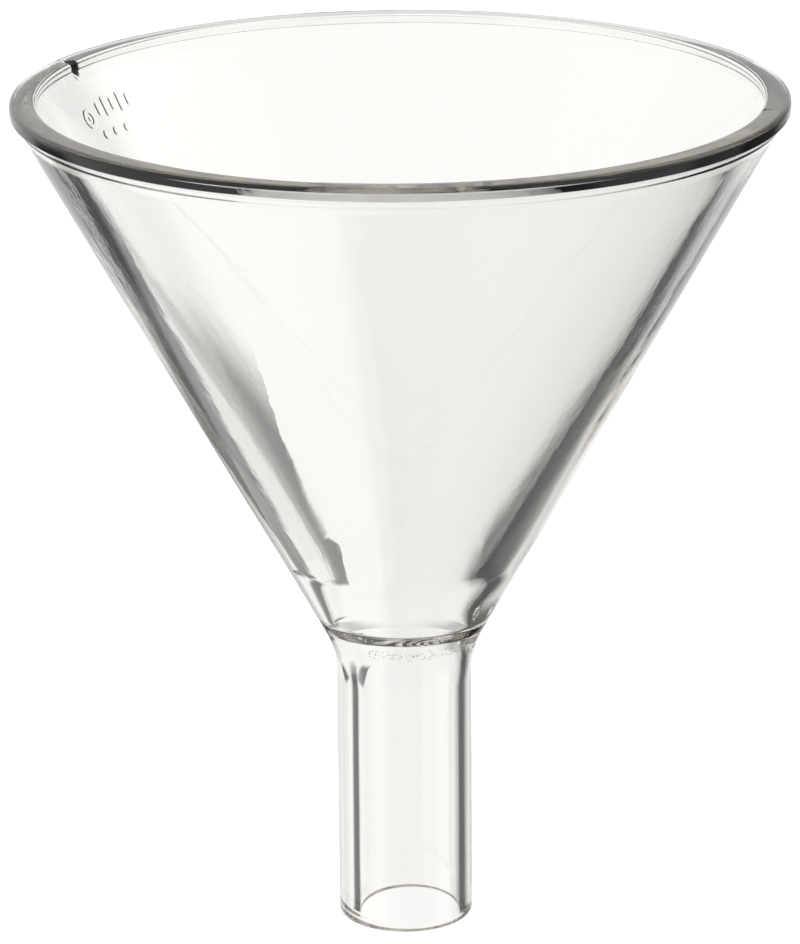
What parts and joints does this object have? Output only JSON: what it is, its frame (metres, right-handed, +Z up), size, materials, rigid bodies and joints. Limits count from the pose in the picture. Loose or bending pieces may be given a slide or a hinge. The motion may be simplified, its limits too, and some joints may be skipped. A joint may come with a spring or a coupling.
{
  "type": "powder funnel",
  "caption": "Clear glass powder funnel with a beaded rim, a steep cone and a short, wide, open stem.",
  "frame": {"origin": "centre of the stem's open lower end, on the plane that the funnel stands on", "axes": "+Z up along the funnel's axis from the stem to the rim, X and Y level, with the pictured side facing 30 degrees from -Y, towards -X"},
  "size_m": [0.1, 0.1, 0.1135],
  "materials": {
    "cone_glass": "pressed and fire-polished clear borosilicate glass, faintly wavy",
    "stem_glass": "drawn clear borosilicate glass tube with a fire-polished end"
  },
  "bodies": {
    "root": {"pressed_cone": "cone_glass", "stem_tube": "stem_glass"}
  },
  "joints": []
}
